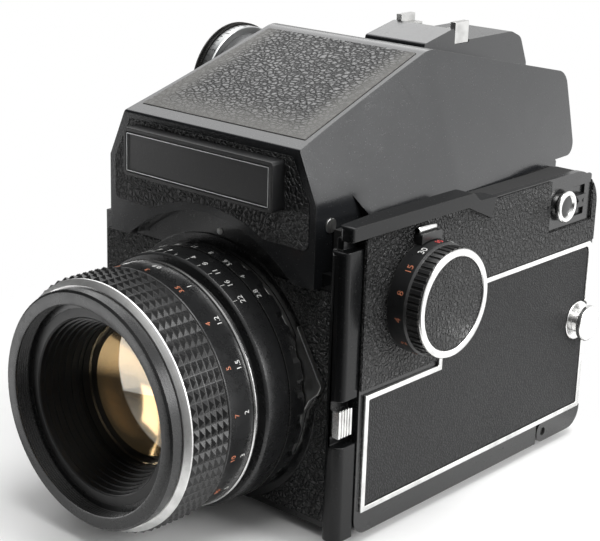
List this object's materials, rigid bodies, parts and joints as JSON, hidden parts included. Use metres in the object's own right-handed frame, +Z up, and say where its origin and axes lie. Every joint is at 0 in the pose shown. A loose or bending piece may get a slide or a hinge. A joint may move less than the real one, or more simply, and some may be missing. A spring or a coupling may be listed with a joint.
{
  "type": "medium format film camera",
  "caption": "Single-lens reflex film camera for roll film, with prism finder, folding winding crank, hinged rear cover and a focusing lens.",
  "frame": {"origin": "mouth of the tripod socket, in the middle of the flat base", "axes": "+Z up, -Y towards the subject along the lens axis, +X towards the viewer's left hand"},
  "size_m": [0.124, 0.183, 0.1294],
  "materials": {
    "casting_black": "semi-gloss black enamel on an aluminium die casting",
    "finder_paint": "smooth semi-gloss black enamel on a moulding",
    "fine_leather": "fine-grained black leatherette",
    "coarse_leather": "coarse pebbled black leatherette",
    "bright_chrome": "satin chrome plate",
    "mount_steel": "turned steel",
    "lens_black": "black anodised aluminium",
    "dial_black": "black anodised, fluted",
    "disc_metal": "satin anodised, engraved",
    "name_panel": "grained black panel",
    "button_metal": "satin chrome",
    "optical_glass": "coated optical glass",
    "mirror_silver": "front-silvered",
    "inner_plastic": "matte black",
    "eyecup_rubber": "black rubber"
  },
  "bodies": {
    "camera_body": {"body_casting": "casting_black", "shutter_curtain": "inner_plastic", "base_plate": "casting_black", "case_screws": "mount_steel", "tripod_bush": "mount_steel", "side_covers": "casting_black", "side_trims": "bright_chrome", "lower_leathers": "fine_leather", "upper_leathers": "coarse_leather", "shoulder_rails": "casting_black", "front_plate": "casting_black", "front_leather": "coarse_leather", "front_pillar": "casting_black", "lens_mount_ring": "mount_steel", "latch_plate": "casting_black", "strap_lugs": "bright_chrome", "focusing_screen": "optical_glass", "insert_frame": "inner_plastic", "pressure_plate": "inner_plastic", "hinge_pin": "mount_steel", "dial_index": "dial_black", "finder_housing": "finder_paint", "roof_prism": "optical_glass", "finder_leather": "coarse_leather", "nameplate": "name_panel", "eyepiece_block": "finder_paint", "eyepiece_glass": "optical_glass", "eyecup": "eyecup_rubber", "accessory_shoe": "bright_chrome", "lens_barrel": "lens_black"},
    "battery_door": {"battery_cover": "mount_steel"},
    "lens_release_slide": {"lens_release": "bright_chrome"},
    "latch_push": {"latch_button": "bright_chrome"},
    "latch_bolt": {"latch_slide": "dial_black"},
    "mirror": {"mirror_frame": "inner_plastic", "mirror_glass": "mirror_silver"},
    "mirror_lock": {"mirror_lever": "mount_steel"},
    "multi_exposure": {"multi_lever": "mount_steel"},
    "spool": {"takeup_spool": "inner_plastic"},
    "back_door": {"rear_cover": "casting_black", "rear_leather": "fine_leather"},
    "speed_dial": {"shutter_dial": "dial_black", "shutter_dial_ring": "bright_chrome", "shutter_dial_pad": "fine_leather"},
    "winder": {"winding_knob": "dial_black"},
    "crank": {"crank_arm": "dial_black"},
    "crank_knob": {"crank_grip": "dial_black"},
    "lock_collar": {"button_collar": "button_metal"},
    "release": {"shutter_button": "button_metal"},
    "meter_dial": {"finder_dial": "dial_black"},
    "speed_disc": {"film_speed_disc": "disc_metal"},
    "aperture": {"aperture_ring": "lens_black"},
    "preview": {"preview_lever": "mount_steel"},
    "front_group": {"front_barrel": "lens_black", "chrome_ring": "bright_chrome", "lens_baffle": "lens_black", "optics_cell": "lens_black", "lens_elements": "optical_glass", "diaphragm": "lens_black"},
    "focus": {"focus_ring": "lens_black"}
  },
  "joints": [
    {"name": "rear_cover_hinge", "type": "hinge", "parent": "camera_body", "child": "back_door", "pos_m": [0, 0.0335, 0.0062], "axis": [-1, 0, 0], "range_deg": [0, 95]},
    {"name": "latch_button_press", "type": "slide", "parent": "camera_body", "child": "latch_push", "axis": [-1, 0, 0], "range_m": [0, 0.0012], "stiffness_N_per_m": 400, "springref_m": -0.0005},
    {"name": "latch_bolt_slide", "type": "slide", "parent": "camera_body", "child": "latch_bolt", "axis": [0, 0, -1], "range_m": [0, 0.0025], "stiffness_N_per_m": 200, "springref_m": -0.0005},
    {"name": "lens_release_slide_back", "type": "slide", "parent": "camera_body", "child": "lens_release_slide", "axis": [0, 1, 0], "range_m": [0, 0.001], "stiffness_N_per_m": 300, "springref_m": -0.0005},
    {"name": "mirror_swing", "type": "hinge", "parent": "camera_body", "child": "mirror", "pos_m": [0, -0.0034, 0.0614], "axis": [-1, 0, 0], "range_deg": [0, 45]},
    {"name": "mirror_lock_turn", "type": "hinge", "parent": "camera_body", "child": "mirror_lock", "pos_m": [-0.054, -0.036, 0.05], "axis": [-1, 0, 0], "range_deg": [0, 45]},
    {"name": "multi_exposure_turn", "type": "hinge", "parent": "camera_body", "child": "multi_exposure", "pos_m": [-0.054, 0.012, 0.066], "axis": [-1, 0, 0], "range_deg": [0, 40]},
    {"name": "winding_turn", "type": "hinge", "parent": "camera_body", "child": "winder", "pos_m": [-0.056, 0.032, 0.058], "axis": [1, 0, 0], "continuous": true},
    {"name": "spool_turn", "type": "hinge", "parent": "camera_body", "child": "spool", "pos_m": [0, 0.032, 0.058], "axis": [1, 0, 0], "continuous": true},
    {"name": "crank_fold", "type": "hinge", "parent": "winder", "child": "crank", "pos_m": [-0.0589, 0.032, 0.0695], "axis": [0, 1, 0], "range_deg": [0, 180]},
    {"name": "crank_grip_spin", "type": "hinge", "parent": "crank", "child": "crank_knob", "pos_m": [-0.0589, 0.032, 0.05], "axis": [1, 0, 0], "continuous": true},
    {"name": "release_press", "type": "slide", "parent": "camera_body", "child": "release", "axis": [0, 1, 0], "range_m": [0, 0.003], "stiffness_N_per_m": 300, "springref_m": -0.0005},
    {"name": "lock_collar_turn", "type": "hinge", "parent": "camera_body", "child": "lock_collar", "pos_m": [-0.038, -0.062, 0.014], "axis": [0, -1, 0], "range_deg": [0, 90]},
    {"name": "shutter_dial_turn", "type": "hinge", "parent": "camera_body", "child": "speed_dial", "pos_m": [0.058, -0.0346, 0.0674], "axis": [1, 0, 0], "range_deg": [0, 300]},
    {"name": "finder_dial_turn", "type": "hinge", "parent": "camera_body", "child": "meter_dial", "pos_m": [-0.041, -0.009, 0.1078], "axis": [-1, 0, 0], "range_deg": [0, 300]},
    {"name": "film_speed_turn", "type": "hinge", "parent": "camera_body", "child": "speed_disc", "pos_m": [-0.041, -0.009, 0.1078], "axis": [-1, 0, 0], "range_deg": [0, 240]},
    {"name": "aperture_turn", "type": "hinge", "parent": "camera_body", "child": "aperture", "pos_m": [0, -0.066, 0.0389], "axis": [0, 1, 0], "range_deg": [0, 54]},
    {"name": "preview_turn", "type": "hinge", "parent": "camera_body", "child": "preview", "pos_m": [0, -0.062, 0.0389], "axis": [0, 1, 0], "range_deg": [0, 15], "stiffness_Nm_per_rad": 0.02, "springref_deg": -5.73},
    {"name": "front_extend", "type": "slide", "parent": "camera_body", "child": "front_group", "axis": [0, -1, 0], "range_m": [0, 0.012]},
    {"name": "focus_turn", "type": "hinge", "parent": "front_group", "child": "focus", "pos_m": [0, -0.09, 0.0389], "axis": [0, 1, 0], "range_deg": [0, 240]},
    {"name": "battery_cover_turn", "type": "hinge", "parent": "camera_body", "child": "battery_door", "pos_m": [0.026, -0.036, 0.002], "axis": [0, 0, 1], "range_deg": [0, 60]}
  ],
  "couplings": [
    {"joint": "spool_turn", "follows": "winding_turn", "ratio": 1},
    {"joint": "mirror_lock_turn", "follows": "mirror_swing", "ratio": 1},
    {"joint": "focus_turn", "follows": "front_extend", "rad_per_m": 349.07}
  ]
}
